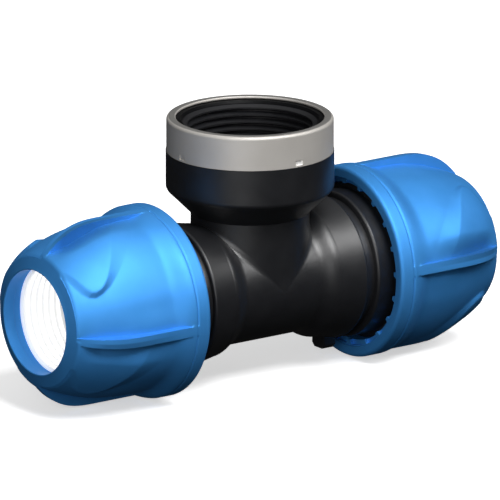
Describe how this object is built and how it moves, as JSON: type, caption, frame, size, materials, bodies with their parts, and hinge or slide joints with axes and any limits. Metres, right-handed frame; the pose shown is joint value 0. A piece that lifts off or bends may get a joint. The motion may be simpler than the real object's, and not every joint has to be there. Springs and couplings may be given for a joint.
{
  "type": "compression pipe tee",
  "caption": "Compression tee for plastic pipe: a black moulded body with a threaded branch in a steel ring, and a ribbed blue nut with a split gripping ring at each end of the run.",
  "frame": {"origin": "where the axis of the run crosses the axis of the branch", "axes": "+X along the run to the right end, +Z along the branch and out of its thread, Y across"},
  "size_m": [0.164, 0.0606, 0.0833],
  "materials": {
    "black_plastic": "satin moulded polypropylene, near black",
    "blue_plastic": "satin moulded polypropylene, sky blue",
    "white_plastic": "smooth moulded acetal, white",
    "bush_plastic": "smooth moulded plastic, black",
    "seal_rubber": "smooth nitrile rubber, black",
    "ring_steel": "matte stainless sheet, warm grey"
  },
  "bodies": {
    "tee": {"tee_body": "black_plastic", "branch_ring": "ring_steel", "left_seal": "seal_rubber", "right_seal": "seal_rubber"},
    "left_grip": {"left_clinch_ring": "white_plastic", "left_bush": "bush_plastic"},
    "left_nut": {"left_nut": "blue_plastic"},
    "right_grip": {"right_clinch_ring": "white_plastic", "right_bush": "bush_plastic"},
    "right_nut": {"right_nut": "blue_plastic"}
  },
  "joints": [
    {"name": "left_grip_slide", "type": "slide", "parent": "tee", "child": "left_grip", "axis": [-1, 0, 0], "range_m": [0, 0.0114]},
    {"name": "left_nut_turn", "type": "hinge", "parent": "left_grip", "child": "left_nut", "pos_m": [-0.06, 0, 0], "axis": [-1, 0, 0], "range_deg": [0, 1020]},
    {"name": "right_grip_slide", "type": "slide", "parent": "tee", "child": "right_grip", "axis": [1, 0, 0], "range_m": [0, 0.0114]},
    {"name": "right_nut_turn", "type": "hinge", "parent": "right_grip", "child": "right_nut", "pos_m": [0.06, 0, 0], "axis": [1, 0, 0], "range_deg": [0, 1020]}
  ],
  "couplings": [
    {"joint": "left_grip_slide", "follows": "left_nut_turn", "m_per_rad": 0.00063662},
    {"joint": "right_grip_slide", "follows": "right_nut_turn", "m_per_rad": 0.00063662}
  ]
}
